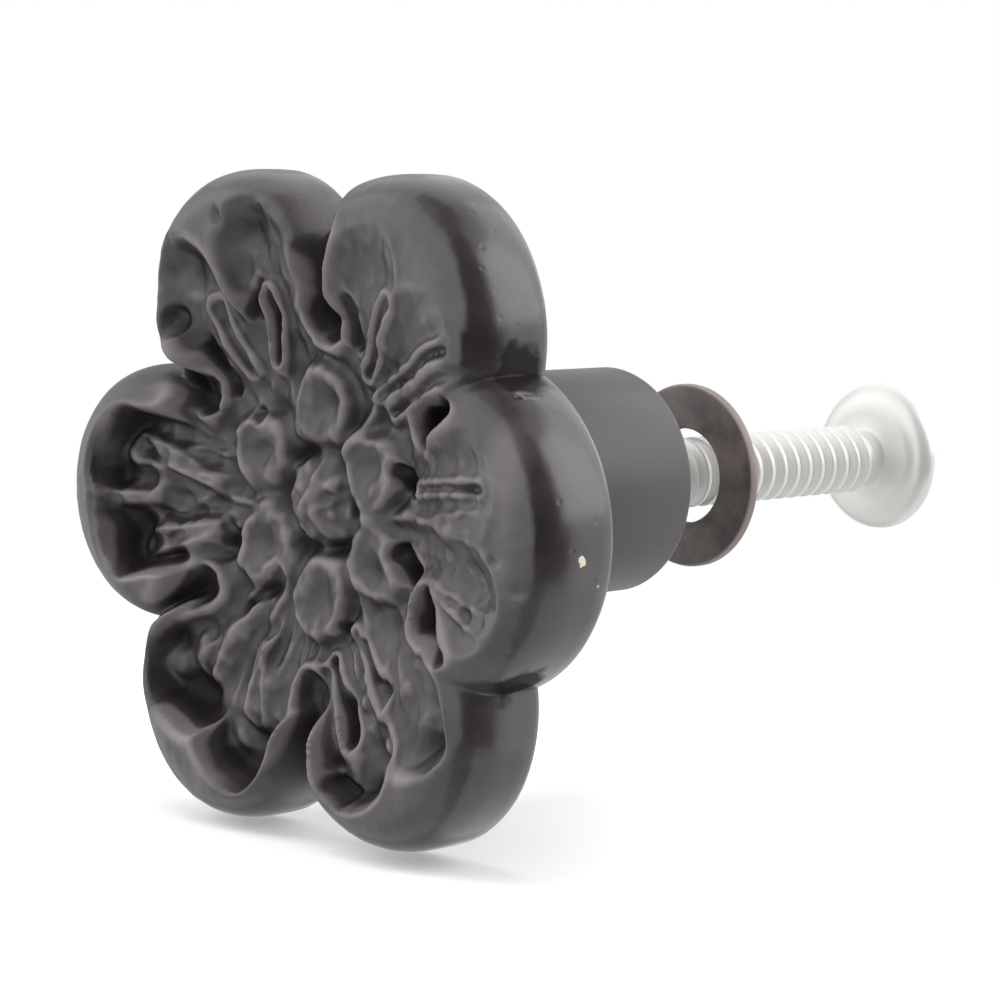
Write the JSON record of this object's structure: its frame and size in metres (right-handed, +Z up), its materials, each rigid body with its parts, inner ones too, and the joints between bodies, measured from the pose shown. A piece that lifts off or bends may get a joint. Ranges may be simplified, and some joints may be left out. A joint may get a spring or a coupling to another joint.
{
  "type": "cabinet knob",
  "caption": "Cast flower-shaped cabinet or drawer knob in black paint, on a round stem, with its machine screw and a loose flat washer.",
  "frame": {"origin": "centre of the stem's end face, which bears on the front of the door or drawer", "axes": "+Y out of the stem's end, along the screw and into the panel; the flower faces -Y; +Z up, through the notch between the two upper petals; +X to the right as seen from behind the panel, which is to the right in the picture"},
  "size_m": [0.0459, 0.0562, 0.0405],
  "materials": {
    "black_paint": "semi-gloss black paint over a cast surface",
    "dark_steel": "dark oiled steel, slightly brown at the edge",
    "bright_zinc": "bright zinc plate"
  },
  "bodies": {
    "root": {"knob_casting": "black_paint", "washer": "dark_steel", "machine_screw": "bright_zinc"}
  },
  "joints": []
}
